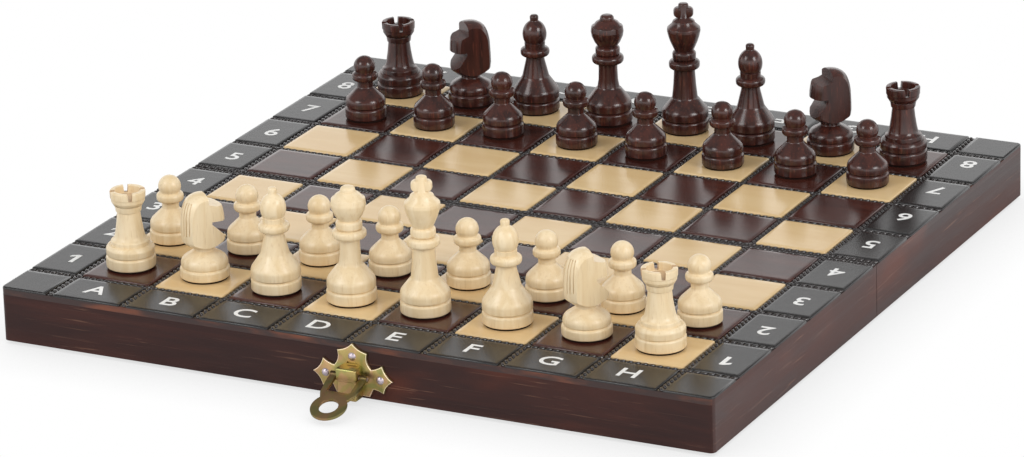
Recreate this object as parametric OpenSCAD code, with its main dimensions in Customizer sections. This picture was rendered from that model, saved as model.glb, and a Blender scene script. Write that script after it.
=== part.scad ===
// Folding chess box, opened flat as a board, with its set of 32 turned chessmen.
//
// Frame: the origin is on the table under the middle of the seam between the two
// trays, +X runs from the a-file to the h-file, +Y from rank 1 to rank 8, +Z is up.
// The rims of both trays lie in the plane z = 0. The base is the near tray, with
// ranks 1 to 4 and the latch; the lid is the far one. The lid folds under the base
// about the hinge pins until the rims meet, and the hasp then drops over the stud.

/* [Board] */
// Side of one square
square_w = 30; // [26:0.5:50]
// Width of the border round the squares
border_w = 20; // [14:0.5:35]
// Height of a tray from its rim to the top of the border
tray_h = 20.4; // [20.4:0.1:40]
// Thickness of the board that closes a tray
deck_t = 2.9; // [2.4:0.1:6]
// How far the lacquered squares stand above the border
lacquer_t = 0.1; // [0.05:0.01:0.3]
// Radius on the top edges of the board
edge_r = 1.2; // [0.4:0.1:2]
// Width of the grooves that hold the rope lines
groove_w = 2.6; // [1.5:0.1:4]
// Depth of the grooves that hold the rope lines
groove_d = 0.6; // [0.2:0.1:1.2]

/* [Trays] */
// Thickness of the tray walls
wall_t = 8; // [7.6:0.1:12]
// Radius of the outer corners of the trays
corner_r = 2; // [0.5:0.1:5]
// Thickness of the felt lining under the board
lining_t = 1; // [0.5:0.1:2]
// Gap between the two rims when the box is closed
closed_gap = 0.3; // [0.2:0.05:1]

/* [Hinges] */
// Distance of each hinge from the middle of the box
hinge_x = 80; // [40:1:100]
// Length of a hinge along its pin
hinge_l = 24; // [18:0.5:40]
// Width of a hinge leaf across the rim, from the pin
leaf_w = 7; // [6.2:0.1:7.4]
// Thickness of a hinge leaf
leaf_t = 0.9; // [0.7:0.05:1]
// Outer radius of the hinge knuckles
knuckle_r = 1.1; // [1:0.05:1.4]
// Radius of the hinge pins
hinge_pin_r = 0.55; // [0.4:0.05:0.7]
// Radius of the shanks of the hinge nails
hinge_nail_r = 0.45; // [0.3:0.05:0.6]

/* [Latch] */
// Distance of the latch from the middle of the front edge
latch_x = 2.6; // [-60:0.2:60]
// Width of the latch plates
plate_w = 31.6; // [30:0.2:46]
// Height of the tip of the latch plates above the rim
plate_h = 20; // [19.2:0.1:22]
// Thickness of the pressed latch plates
plate_t = 1; // [0.8:0.1:1.5]
// Width of the pressed channel that carries the hasp
channel_w = 8; // [6:0.1:9]
// How far the channel stands out from the front of the box
channel_d = 6.3; // [6:0.1:8]
// Height of the top of the channel above the rim
channel_h = 12.2; // [12.2:0.1:13]
// Radius of the hasp's pin
hasp_pin_r = 0.7; // [0.5:0.05:0.9]
// Distance of the hasp's pin from the front of the box
pivot_d = 3.5; // [3.4:0.1:4.2]
// Height of the hasp's pin above the rim
pivot_h = 8.6; // [8.4:0.1:9]
// Thickness of the hasp
hasp_t = 1.1; // [0.8:0.1:1.4]
// Distance from the hasp's pin to the middle of its ring
hasp_l = 16.5; // [16.2:0.1:17.4]
// Outer radius of the hasp's ring
ring_r = 6.6; // [6:0.1:7.6]
// Radius of the hole in the hasp's ring
ring_hole_r = 3.5; // [3.4:0.05:4]
// Radius of the head of the stud that the ring drops over
stud_r = 2.7; // [2.2:0.1:2.8]
// Radius of the domed heads of the latch nails
nail_head_r = 1.5; // [1.2:0.1:2]
// Radius of the shanks of the latch nails
nail_r = 0.6; // [0.4:0.05:0.8]

/* [Chessmen] */
// Height of a king
king_h = 50.6; // [46:0.1:65]
// Height of a queen
queen_h = 42.8; // [39:0.1:55]
// Height of a bishop
bishop_h = 38.5; // [35:0.1:50]
// Height of a knight
knight_h = 31.9; // [31.9:0.1:44]
// Height of a rook
rook_h = 29.3; // [27:0.1:42]
// Height of a pawn
pawn_h = 25; // [24:0.1:35]
// Radius of the base of every man but a pawn
base_r = 9; // [8.6:0.1:12]
// Radius of the base of a pawn
pawn_r = 8; // [7.4:0.1:10]
// Height of the plain disc at the foot of a man
disc_h = 4.6; // [3.6:0.1:5]
// Thickness of the felt pad under a man
pad_t = 0.6; // [0.4:0.1:1]
// Radius of a knight's turned head
head_r = 8; // [7.6:0.1:9]
// Width of the saw cuts in a rook's crown, at their bottom
slot_w = 1.2; // [0.8:0.1:2]

/* [Hidden] */
$fn = 48;

// Colours of the materials
stained = "#4a2a20";
lacquer = "#33333a";
pale_square = "#d9c49a";
dark_square = "#4a3634";
felt = "#3b2a22";
brass = "#b99a5b";
steel = "#b9b9b4";
boxwood = "#e6d3a8";
mahogany = "#4b1f17";

// Sizes worked out from the ones above
files = 8;                               // squares across the board
half_files = files / 2;
edge = half_files * square_w + border_w; // from the middle of the box to each outer face
seam = closed_gap / 2;                   // from the middle of the box to each seam face
wall_h = tray_h - deck_t;
deck_top = tray_h + lacquer_t;           // where the men stand
inner = edge - wall_t;                   // from the middle of the box to the inside of a wall
pin_z = -closed_gap / 2;                 // height of the hinge pins

// Clearances
seat_gap = 0.05;                         // under a man's pad
glue_gap = 0.1;                          // round a mortised leaf
running = 0.05;                          // a part that turns on a pin
driven = 0.03;                           // a pin or nail in the piece that holds it
sweep = 0.3;                             // round the knuckles, in the walls
table_gap = 0.15;                        // under the tip of the hasp

// Hinge details
knuckle_l = hinge_l / 3;
knuckle_gap = 0.1;
hinge_nail_l = 7;
hinge_nail_head_r = hinge_nail_r + 0.55;
hinge_nail_head_t = 0.4;
hinge_nail_y = leaf_w - 2.6;

// Latch details
nail_l = 6.5;
nail_head_t = 0.8;
eye_r = hasp_pin_r + 0.6;
arm_in = channel_w / 2 + 0.6;            // inside of each arm of the hasp
arm_out = arm_in + 2.5;
channel_wall = 1;
channel_foot = 0.6;                      // height of the channel's open bottom above the rim
channel_crease = 7.5;                    // height where the channel steps in
channel_step = 0.35;                     // how far it steps in
slot_gap = 0.1;                          // from the channel's top to the slot above it
window_l = norm([channel_d - pivot_d, pivot_h - channel_foot]) + 0.3; // the hasp's window clears the channel
hasp_tip = hasp_l + ring_r;
hasp_open = acos((pivot_h - hasp_t / 2 - table_gap) / hasp_tip); // swing at which the tip lies on the table
stud_z = hasp_l - pivot_h - closed_gap;  // stud on the lid, where the ring of the closed hasp comes
nail_top = [0, 0.76 * plate_h];
nail_side = [0.339 * plate_w, 0.39 * plate_h];

// How far each man stands off the middle of its square, chosen by eye, from the a-file to the h-file
off_1 = [[-1.6, 0.7], [-1.6, 1.6], [-1.6, 0], [-1.5, 0.5], [-2, 0.3], [-0.5, 1.7], [0.2, 1.8], [-1.1, 0.8]];
off_2 = [[-1.6, 0.3], [-0.4, 1.9], [-0.7, 1.9], [-2.1, 1.5], [-0.5, 0.7], [1.1, 0.1], [0.7, 0], [1.2, -1.9]];
off_7 = [[0, -1.5], [-1.1, -0.3], [-2, 0.8], [-0.6, 0.5], [-1.1, -0.4], [0.5, 0.2], [-0.4, 1.6], [-1.1, 1.4]];
off_8 = [[-1.4, 0], [-0.2, -0.3], [-2.9, 1.4], [-0.9, -0.4], [0.5, 1.5], [-1.1, -0.4], [1.4, 0.2], [1.2, 0]];
crown_turn = 38;                         // the saw cuts of the rooks
cross_turn = 27;                         // the arms of the kings' crosses

// Each knight, by eye: the way it looks, its height over knight_h, the drop of its disc, how far out
// its brow and the corner of its mouth are, and the end of its chest over its chin
knight_b1 = [51, 0, 0.6, 0.8, 1.7, 3.8];
knight_g1 = [51, 0, 0.6, 0.8, 1.9, 3.8];
knight_b8 = [-132, 1.4, 0, 2.3, 3.1, 3.3];
knight_g8 = [-132, 0.6, 0, 1, 3.1, 2.7];

// ---- Outlines ----

function unit(v) = v / norm(v);
function heading(v) = atan2(v[1], v[0]);
// Shortest turn from angle a to angle b
function turn(a, b) = (b - a) > 180 ? b - a - 360 : (b - a) < -180 ? b - a + 360 : b - a;

// The corner q between the points p and s, with q[2] as the radius of its round
function corner(p, q, s, steps = 3) =
    let (at = [q[0], q[1]])
    q[2] == undef || q[2] == 0 ? [at] :
    let (
        u = unit([p[0], p[1]] - at),
        v = unit([s[0], s[1]] - at),
        half = acos(u * v) / 2,
        middle = at + unit(u + v) * q[2] / sin(half),
        from = heading(at + u * q[2] / tan(half) - middle),
        to = heading(at + v * q[2] / tan(half) - middle)
    )
    [for (i = [0:steps]) let (a = from + turn(from, to) * i / steps) middle + q[2] * [cos(a), sin(a)]];

// An outline whose points may carry a radius as their third number
function rounded(points) =
    let (n = len(points))
    [for (i = [0:n - 1]) each corner(points[(i + n - 1) % n], points[i], points[(i + 1) % n])];

// Part of an oval about [0, z], from angle a to angle b
function oval(z, rx, rz, a, b, steps) =
    [for (i = [0:steps]) let (t = a + (b - a) * i / steps) [rx * cos(t), z + rz * sin(t)]];

// From p to q along an arc that dips to the right of the way by the given depth
function dip(p, q, depth, steps = 4) =
    let (way = q - p, side = [way[1], -way[0]] / norm(way))
    [for (i = [0:steps - 1]) let (t = i / steps) p + way * t + side * depth * 4 * t * (1 - t)];

module turned(points) rotate_extrude() polygon(rounded(points));

// ---- Trays ----

// Plan of one tray, on the side of -Y, with its outer corners rounded
module tray_plan() {
    translate([-edge, corner_r - edge]) square([2 * edge, edge - corner_r - seam]);
    translate([corner_r - edge, -edge]) square([2 * (edge - corner_r), corner_r + 1]);
    for (s = [-1, 1]) translate([s * (edge - corner_r), corner_r - edge]) circle(corner_r);
}

// A wall with the given plan, inside the rounded corners of the tray
module tray_wall(plan) {
    intersection() {
        linear_extrude(wall_h) polygon(plan);
        translate([0, 0, -1]) linear_extrude(wall_h + 2) tray_plan();
    }
}

module front_wall() {
    difference() {
        tray_wall([[-edge, -edge], [edge, -edge], [inner, -inner], [-inner, -inner]]);
        latch_nail_set(nail_r + driven, nail_head_r + driven);
    }
}

module side_wall() tray_wall([[-edge, -edge], [-inner, -inner], [-inner, -seam - wall_t], [-edge, -seam]]);

module hinge_wall() {
    difference() {
        tray_wall([[-edge, -seam], [-inner, -seam - wall_t], [inner, -seam - wall_t], [edge, -seam]]);
        for (s = [-1, 1]) translate([s * hinge_x, 0, 0]) {
            hinge_bar(knuckle_r + sweep, hinge_l + 2 * sweep);
            translate([-hinge_l / 2 - glue_gap, -leaf_w - glue_gap, -1])
                cube([hinge_l + 2 * glue_gap, leaf_w + glue_gap, leaf_t + 1]);
        }
        hinge_nail_set(hinge_nail_r + driven);
    }
}

// Cross-section of the board: a bar from -w to w with rounded top edges
module rounded_bar(w, h, r) {
    translate([-w, 0]) square([2 * w, h - r]);
    translate([r - w, 0]) square([2 * (w - r), h]);
    for (s = [-1, 1]) translate([s * (w - r), h - r]) circle(r);
}

module board_blank() {
    intersection() {
        translate([0, 0, wall_h]) linear_extrude(deck_t) tray_plan();
        translate([0, edge, wall_h]) rotate([90, 0, 0])
            linear_extrude(3 * edge) rounded_bar(edge, deck_t, edge_r);
        translate([-2 * edge, 0, wall_h]) rotate([90, 0, 90])
            linear_extrude(4 * edge) rounded_bar(edge, deck_t, edge_r);
    }
}

// The grooves of the rope lines, whose floor is groove_d below the border
module rope_grooves() {
    bottom = tray_h - groove_d;
    for (i = [0:files]) translate([(i - half_files) * square_w - groove_w / 2, -edge - 1, bottom])
        cube([groove_w, edge + 2, groove_d + 1]);
    for (i = [1:half_files]) translate([-edge - 1, -i * square_w - groove_w / 2, bottom])
        cube([2 * edge + 2, groove_w, groove_d + 1]);
    translate([-edge - 1, -seam - groove_w, bottom]) cube([2 * edge + 2, groove_w + 1, groove_d + 1]);
}

// The lacquered squares of one colour; odd is 0 for the squares like a1 and 1 for the others
module squares(odd) {
    inset = groove_w / 2 + 0.3;
    seam_inset = seam + groove_w + 0.3;
    for (file = [0:files - 1]) for (row = [0:half_files - 1])
        if ((file + row) % 2 == odd) {
            near = (row - half_files) * square_w + inset;
            far = row == half_files - 1 ? -seam_inset : (row + 1 - half_files) * square_w - inset;
            translate([(file - half_files) * square_w + inset, near, tray_h - groove_d])
                cube([square_w - 2 * inset, far - near, groove_d + lacquer_t]);
        }
}

// The board of one tray; dark is the parity of its dark squares
module deck(dark) {
    color(lacquer) difference() {
        board_blank();
        rope_grooves();
    }
    color(dark_square) squares(dark);
    color(pale_square) squares(1 - dark);
}

module lining() {
    translate([-inner, -inner, wall_h - lining_t]) cube([2 * inner, inner - seam - wall_t, lining_t]);
}

// ---- Hinges ----

// A round bar along the hinge axis
module hinge_bar(r, l) translate([-l / 2, 0, pin_z]) rotate([0, 90, 0]) cylinder(r = r, h = l);

// The nails of the two leaves on the base, or the holes for them
module hinge_nail_set(r) {
    for (s = [-1, 1]) for (n = [-1, 1]) translate([s * hinge_x + n * knuckle_l, -hinge_nail_y, 0]) {
        cylinder(r = r, h = hinge_nail_l);
        cylinder(r = r + hinge_nail_head_r - hinge_nail_r, h = hinge_nail_head_t);
    }
}

// A leaf on the side of -Y, with its knuckles at the places given
module leaf(at) {
    clear = knuckle_r + 0.25;
    difference() {
        union() {
            translate([-hinge_l / 2, -leaf_w, 0]) cube([hinge_l, leaf_w - clear, leaf_t]);
            for (i = at) translate([i * knuckle_l, 0, 0]) {
                translate([(knuckle_gap - knuckle_l) / 2, -clear - 0.1, 0])
                    cube([knuckle_l - knuckle_gap, clear + 0.1, leaf_t]);
                hinge_bar(knuckle_r, knuckle_l - knuckle_gap);
            }
        }
        hinge_bar(hinge_pin_r + running, hinge_l + 2);
        for (n = [-1, 1]) translate([n * knuckle_l, -hinge_nail_y, -1]) {
            cylinder(r = hinge_nail_r + driven, h = leaf_t + 2);
            cylinder(r = hinge_nail_head_r + driven, h = hinge_nail_head_t + 1);
        }
    }
}

module hinge_pin() hinge_bar(hinge_pin_r, hinge_l + 0.3);

// ---- Latch ----

// The points of the lobed outline of a latch plate, as shares of its width and height above the rim
function on_plate(x, z) = [x * plate_w, z * plate_h];
tip = on_plate(0, 1);
ear = on_plate(0.187, 0.85);
armpit = on_plate(0.228, 0.56);
shoulder = on_plate(0.367, 0.66);
wing = on_plate(0.5, 0.39);
elbow = on_plate(0.38, 0.14);
flank = on_plate(0.253, 0.2);
root = on_plate(0.206, 0.05);
lobe_half = concat(dip(tip, ear, 0.6), dip(ear, armpit, 0.9), dip(armpit, shoulder, 0.3),
    dip(shoulder, wing, 0.8), dip(wing, elbow, 0.8), dip(elbow, flank, 0.3), [flank, root]);

module latch_outline() {
    polygon(lobe_half);
    mirror([1, 0]) polygon(lobe_half);
    polygon([[-root[0], root[1]], root, tip]);
}

// A plate standing on the front face of the box
module lobed_plate() {
    translate([latch_x, -edge, 0]) difference() {
        rotate([90, 0, 0]) linear_extrude(plate_t) latch_outline();
        latch_nail_holes();
    }
}

module latch_nail_holes() {
    for (p = [nail_top, nail_side, [-nail_side[0], nail_side[1]]]) translate([p[0], 1, p[1]])
        rotate([90, 0, 0]) cylinder(r = nail_r + driven, h = plate_t + 2);
}

// A domed nail driven through a latch plate, or the hole for its shank
module latch_nail_set(shank_r, head_r) {
    dome = (head_r * head_r + nail_head_t * nail_head_t) / (2 * nail_head_t);
    for (p = [nail_top, nail_side, [-nail_side[0], nail_side[1]]])
        translate([latch_x + p[0], -edge, p[1]]) {
            translate([0, nail_l - plate_t, 0]) rotate([90, 0, 0]) cylinder(r = shank_r, h = nail_l);
            intersection() {
                translate([0, dome - nail_head_t - plate_t, 0]) sphere(dome);
                translate([0, -plate_t, 0]) rotate([90, 0, 0]) cylinder(r = head_r, h = nail_head_t + 1);
            }
        }
}

module hasp_pin_bar(r, l) {
    translate([latch_x - l / 2, -edge - pivot_d, pivot_h]) rotate([0, 90, 0]) cylinder(r = r, h = l);
}

// The plate on the base, with the channel that carries the pin
module channel_plate() {
    difference() {
        union() {
            lobed_plate();
            translate([latch_x - channel_w / 2 + channel_step, channel_step - edge - channel_d, channel_foot])
                cube([channel_w - 2 * channel_step, channel_d - channel_step - plate_t / 2,
                    channel_h - 1 - channel_foot]);
            translate([latch_x - channel_w / 2, -edge - channel_d, channel_crease])
                cube([channel_w, channel_d - plate_t / 2, channel_h - channel_crease]);
        }
        translate([latch_x - channel_w / 2 + channel_wall + channel_step,
            channel_wall + channel_step - edge - channel_d, channel_foot - 1])
            cube([channel_w - 2 * (channel_wall + channel_step),
                channel_d - channel_wall - channel_step - plate_t,
                channel_h - channel_wall - channel_foot + 1]);
        translate([latch_x - channel_w / 4, -edge - plate_t - 1, channel_h + slot_gap])
            cube([channel_w / 2, plate_t + 2, 0.7]);
        hasp_pin_bar(hasp_pin_r + driven, channel_w + 2);
    }
}

module hasp_pin() hasp_pin_bar(hasp_pin_r, 2 * arm_out + 0.2);

// The hasp hanging from its pin: x along the pin, the sheet in the plane y = 0
module hasp_sheet() {
    rotate([90, 0, 0]) translate([0, 0, -hasp_t / 2]) linear_extrude(hasp_t) difference() {
        union() {
            translate([0, -hasp_l]) circle(ring_r);
            polygon([
                [-arm_out, 0], [-arm_out, -window_l / 2], [0.6 - arm_out, -window_l - 1.2],
                [-0.82 * ring_r, 4.2 - hasp_l], [0, -hasp_l], [0.82 * ring_r, 4.2 - hasp_l],
                [arm_out - 0.6, -window_l - 1.2], [arm_out, -window_l / 2], [arm_out, 0]
            ]);
        }
        polygon(rounded([
            [-arm_in, 2], [-arm_in, -window_l, 0.8], [arm_in, -window_l, 0.8], [arm_in, 2]
        ]));
        translate([0, -hasp_l]) circle(ring_hole_r);
    }
}

module hasp() {
    translate([latch_x, -edge - pivot_d, pivot_h]) rotate([-hasp_open, 0, 0]) difference() {
        union() {
            hasp_sheet();
            for (s = [-1, 1]) translate([s * (arm_in + arm_out) / 2 - (arm_out - arm_in) / 2, 0, 0])
                rotate([0, 90, 0]) cylinder(r = eye_r, h = arm_out - arm_in);
        }
        translate([-arm_out - 1, 0, 0]) rotate([0, 90, 0])
            cylinder(r = hasp_pin_r + running, h = 2 * arm_out + 2);
    }
}

// The plate on the lid, drawn on the side of -Y, with the stud for the ring
module stud_plate() {
    lobed_plate();
    translate([latch_x, -edge - plate_t + 0.1, stud_z]) rotate([90, 0, 0])
        turned([
            [0, 0], [stud_r - 0.9, 0], [stud_r - 0.9, pivot_d - plate_t],
            [stud_r, pivot_d - plate_t + 0.8, 0.2], [stud_r, 4.6, 0.6], [0, 5.2]
        ]);
}

// ---- Chessmen ----

// Puts a man on its square: file 0 is the a-file, rank 0 is rank 1
module stand(file, rank, off) {
    translate([(file - half_files + 0.5) * square_w + off[0], (rank - half_files + 0.5) * square_w + off[1],
        deck_top + seat_gap]) children();
}

module pad(r) color(felt) cylinder(r = r - 0.6, h = pad_t);

// The foot that most men have: disc, groove and bell, up to the waist
function foot(r, disc, bell_z, bell_r, waist) = [
    [0, pad_t], [r, pad_t, 0.5], [r, disc, 1.1], [r - 0.8, disc + 0.45],
    [bell_r, disc + 0.9, 0.4], [bell_r, bell_z, 3], waist
];

module pawn(wood) {
    ball_r = 4.15;
    ball_z = pawn_h - ball_r;
    neck = ball_z - 5.6;
    pad(pawn_r);
    color(wood) turned(concat(
        foot(pawn_r, disc_h, disc_h + 3.6, pawn_r - 0.25, [3.1, 12.7, 0.8]),
        [[3.1, neck], [4.95, neck + 0.2, 1.2], [4.95, neck + 2.8, 1.1], [3.7, neck + 3.4]],
        oval(ball_z, ball_r, ball_r, -28, 90, 9)));
}

module rook(wood) {
    neck = rook_h - 8;
    floor_z = rook_h - 2.8;
    pad(base_r);
    color(wood) difference() {
        turned([
            [0, pad_t], [base_r, pad_t, 0.5], [base_r, disc_h, 1.1], [base_r - 0.6, disc_h + 0.4],
            [base_r - 0.2, disc_h + 0.9, 0.3], [base_r - 0.15, disc_h + 3.1, 1.4], [8, disc_h + 4.3, 0.4],
            [7, disc_h + 4.4], [6.9, disc_h + 5.9, 0.4], [5.9, disc_h + 6.4], [5.45, disc_h + 7.8],
            [5.1, disc_h + 9.4], [4.56, neck - 3.9], [4.15, neck], [4.6, neck + 0.2, 0.15],
            [4.9, neck + 2.2, 0.3], [4.75, neck + 2.4], [5.2, neck + 2.5], [6.05, neck + 3.9, 0.4],
            [6.15, neck + 5.1, 0.2], [6.35, neck + 5.3, 0.15], [6.45, rook_h, 0.35], [4.6, rook_h, 0.2],
            [4.5, floor_z, 0.3], [0, floor_z]
        ]);
        rotate([0, 0, crown_turn]) for (a = [0, 90]) rotate([90, 0, a])
            translate([0, 0, -base_r]) linear_extrude(2 * base_r) polygon([
                [-slot_w / 2, floor_z + 0.2], [slot_w / 2, floor_z + 0.2],
                [slot_w / 2 + 0.35, rook_h + 1], [-slot_w / 2 - 0.35, rook_h + 1]
            ]);
    }
}

// The foot of a knight has a low disc and a neck; the head is a turned blank with flat sides and
// two saw cuts
module knight(wood, cuts) {
    chin = knight_h - 21;
    top = knight_h + cuts[1];
    disc = disc_h - cuts[2];
    brow = cuts[3];
    mouth = cuts[4];
    chest = chin + cuts[5];
    pad(base_r);
    color(wood) rotate([0, 0, cuts[0]]) {
        turned(concat(
            foot(base_r, disc, disc + 3.4, base_r - 0.5, [3.7, 10.6, 0.5]),
            [[3.6, chin + 1.4], [0, chin + 1.4]]));
        difference() {
            turned([
                [0, chin], [2.9, chin + 0.4], [5.5, chin + 1.5], [head_r - 0.3, chin + 3.3, 0.8],
                [head_r, chin + 5.5], [head_r - 0.05, chin + 9.1], [head_r - 0.25, top - 8.5],
                [head_r - 0.5, top - 6.7], [head_r - 0.9, top - 5], [head_r - 1.5, top - 3.5],
                [head_r - 2.1, top - 2.4], [head_r - 3.1, top - 1.4], [head_r - 4.5, top - 0.6],
                [head_r - 6.2, top - 0.1], [0, top]
            ]);
            for (s = [0, 180]) rotate([0, 0, s])
                translate([-2 * head_r, 0.65 * head_r, 0]) cube([4 * head_r, 2 * head_r, top + 1]);
            // Above the nose, in front of the brow
            cross_cut([[brow, top + 1], [brow, chin + 17.7], [brow + 1.6, chin + 17.1],
                [0.7 * head_r, chin + 16.5], [head_r - 0.7, chin + 15.7],
                [2 * head_r, chin + 11.1], [2 * head_r, top + 1]]);
            // The mouth, and the chest below it
            cross_cut([[mouth, chin + 11], [head_r, chin + 11], [2 * head_r, chin + 11.1],
                [2 * head_r, 2 * chest - chin - 9.9], [head_r, chest], [mouth, chin + 9.9]]);
        }
    }
}

// A cut straight across a knight's head
module cross_cut(points)
    translate([0, 2 * head_r, 0]) rotate([90, 0, 0]) linear_extrude(4 * head_r) polygon(points);

module bishop(wood) {
    neck = bishop_h - 16.4;
    pad(base_r);
    color(wood) turned(concat(
        foot(base_r, disc_h, disc_h + 4, base_r - 0.05, [5.2, 13.9, 3]),
        [
            [3.6, neck - 1.5], [3.5, neck], [5.6, neck + 0.1, 1.3], [5.6, neck + 2.9, 1.2], [3.9, neck + 3.4],
            [4, neck + 5.3], [3.75, neck + 5.5]
        ],
        oval(neck + 8.7, 4.65, 5.6, -33, 67, 9),
        [[1.6, neck + 14.3], [1.75, bishop_h, 0.9], [0, bishop_h]]));
}

module queen(wood) {
    neck = queen_h - 19.1;
    pad(base_r);
    color(wood) turned(concat(
        foot(base_r, disc_h, disc_h + 4, base_r - 0.25, [5.1, 13.3]),
        [
            [4.45, 13.7], [4.2, 14.4], [3.75, 17], [3.6, neck - 2], [3.7, neck], [6.1, neck + 0.1, 1.3],
            [6.1, neck + 2.9, 1.2], [4.3, neck + 3.4], [4.7, neck + 3.6, 1.2], [4.7, neck + 6.4, 1.2],
            [3.75, neck + 6.8], [5, neck + 8.6], [6, neck + 10.9], [6.3, neck + 12.7, 1],
            [6, neck + 14.7, 0.3], [5.2, neck + 15.1], [4.4, neck + 16.2], [3, neck + 17.1, 0.3],
            [2.7, neck + 17.2], [2.6, queen_h, 1.2], [0, queen_h]
        ]));
}

module king(wood) {
    neck = king_h - 25.8;
    pad(base_r);
    color(wood) {
        turned(concat(
            foot(base_r, disc_h, disc_h + 3.8, base_r - 0.1, [5.5, 12.6]),
            [
                [5, 12.9], [4.85, 13.6], [4.35, 18.4], [4.05, neck - 1.5], [4.1, neck],
                [5.9, neck + 0.1, 1.1],
                [5.9, neck + 2.9, 1], [4.1, neck + 3.6], [4.5, neck + 3.8, 1.3], [4.5, neck + 6.8, 1.3],
                [3.6, neck + 7.1], [4.55, neck + 9.2], [5.35, neck + 11.1], [5.95, neck + 13],
                [6.4, neck + 15, 0.5], [6.3, neck + 16.2, 0.5], [4.4, neck + 18], [4.15, neck + 18.9, 0.4],
                [2.6, neck + 20], [2.15, neck + 20.5], [1.9, king_h, 0.6], [0, king_h]
            ]));
        rotate([0, 0, cross_turn]) intersection() {
            turned([[0, neck + 20.5], [3.8, neck + 20.5, 1.2], [3.8, neck + 24.2, 1.2], [0, neck + 24.2]]);
            translate([-5, -1.8, 0]) cube([10, 3.6, king_h]);
        }
    }
}

// ---- One module for each sub-part ----

module base_front_wall() color(stained) front_wall();
module base_hinge_wall() color(stained) hinge_wall();
module base_left_wall() color(stained) side_wall();
module base_right_wall() color(stained) mirror([1, 0, 0]) side_wall();
module base_deck() deck(0);
module base_lining() color(felt) lining();
module hinge_left_base_leaf() color(brass) translate([-hinge_x, 0, 0]) leaf([-1, 1]);
module hinge_right_base_leaf() color(brass) translate([hinge_x, 0, 0]) leaf([-1, 1]);
module hinge_left_pin() color(steel) translate([-hinge_x, 0, 0]) hinge_pin();
module hinge_right_pin() color(steel) translate([hinge_x, 0, 0]) hinge_pin();
module base_hinge_nails() color(brass) hinge_nail_set(hinge_nail_r);
module latch_plate() color(brass) channel_plate();
module latch_pin() color(steel) hasp_pin();
module latch_nails() color(steel) latch_nail_set(nail_r, nail_head_r);
module latch_hasp() color(brass) hasp();

module lid_rear_wall() color(stained) mirror([0, 1, 0]) front_wall();
module lid_hinge_wall() color(stained) mirror([0, 1, 0]) hinge_wall();
module lid_left_wall() color(stained) mirror([0, 1, 0]) side_wall();
module lid_right_wall() color(stained) mirror([0, 1, 0]) mirror([1, 0, 0]) side_wall();
module lid_deck() mirror([0, 1, 0]) deck(1);
module lid_lining() color(felt) mirror([0, 1, 0]) lining();
module hinge_left_lid_leaf() color(brass) mirror([0, 1, 0]) translate([-hinge_x, 0, 0]) leaf([0]);
module hinge_right_lid_leaf() color(brass) mirror([0, 1, 0]) translate([hinge_x, 0, 0]) leaf([0]);
module lid_hinge_nails() color(brass) mirror([0, 1, 0]) hinge_nail_set(hinge_nail_r);
module catch_plate() color(brass) mirror([0, 1, 0]) stud_plate();
module catch_nails() color(steel) mirror([0, 1, 0]) latch_nail_set(nail_r, nail_head_r);

module white_rook_a() stand(0, 0, off_1[0]) rook(boxwood);
module white_knight_b() stand(1, 0, off_1[1]) knight(boxwood, knight_b1);
module white_bishop_c() stand(2, 0, off_1[2]) bishop(boxwood);
module white_queen() stand(3, 0, off_1[3]) queen(boxwood);
module white_king() stand(4, 0, off_1[4]) king(boxwood);
module white_bishop_f() stand(5, 0, off_1[5]) bishop(boxwood);
module white_knight_g() stand(6, 0, off_1[6]) knight(boxwood, knight_g1);
module white_rook_h() stand(7, 0, off_1[7]) rook(boxwood);
module white_pawn(file) stand(file, 1, off_2[file]) pawn(boxwood);
module black_pawn(file) stand(file, 6, off_7[file]) pawn(mahogany);
module black_rook_a() stand(0, 7, off_8[0]) rook(mahogany);
module black_knight_b() stand(1, 7, off_8[1]) knight(mahogany, knight_b8);
module black_bishop_c() stand(2, 7, off_8[2]) bishop(mahogany);
module black_queen() stand(3, 7, off_8[3]) queen(mahogany);
module black_king() stand(4, 7, off_8[4]) king(mahogany);
module black_bishop_f() stand(5, 7, off_8[5]) bishop(mahogany);
module black_knight_g() stand(6, 7, off_8[6]) knight(mahogany, knight_g8);
module black_rook_h() stand(7, 7, off_8[7]) rook(mahogany);

base_front_wall();
base_hinge_wall();
base_left_wall();
base_right_wall();
base_deck();
base_lining();
hinge_left_base_leaf();
hinge_right_base_leaf();
hinge_left_pin();
hinge_right_pin();
base_hinge_nails();
latch_plate();
latch_pin();
latch_nails();
latch_hasp();
lid_rear_wall();
lid_hinge_wall();
lid_left_wall();
lid_right_wall();
lid_deck();
lid_lining();
hinge_left_lid_leaf();
hinge_right_lid_leaf();
lid_hinge_nails();
catch_plate();
catch_nails();
white_rook_a();
white_knight_b();
white_bishop_c();
white_queen();
white_king();
white_bishop_f();
white_knight_g();
white_rook_h();
white_pawn(0);  // white_pawn_a
white_pawn(1);  // white_pawn_b
white_pawn(2);  // white_pawn_c
white_pawn(3);  // white_pawn_d
white_pawn(4);  // white_pawn_e
white_pawn(5);  // white_pawn_f
white_pawn(6);  // white_pawn_g
white_pawn(7);  // white_pawn_h
black_pawn(0);  // black_pawn_a
black_pawn(1);  // black_pawn_b
black_pawn(2);  // black_pawn_c
black_pawn(3);  // black_pawn_d
black_pawn(4);  // black_pawn_e
black_pawn(5);  // black_pawn_f
black_pawn(6);  // black_pawn_g
black_pawn(7);  // black_pawn_h
black_rook_a();
black_knight_b();
black_bishop_c();
black_queen();
black_king();
black_bishop_f();
black_knight_g();
black_rook_h();
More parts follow.
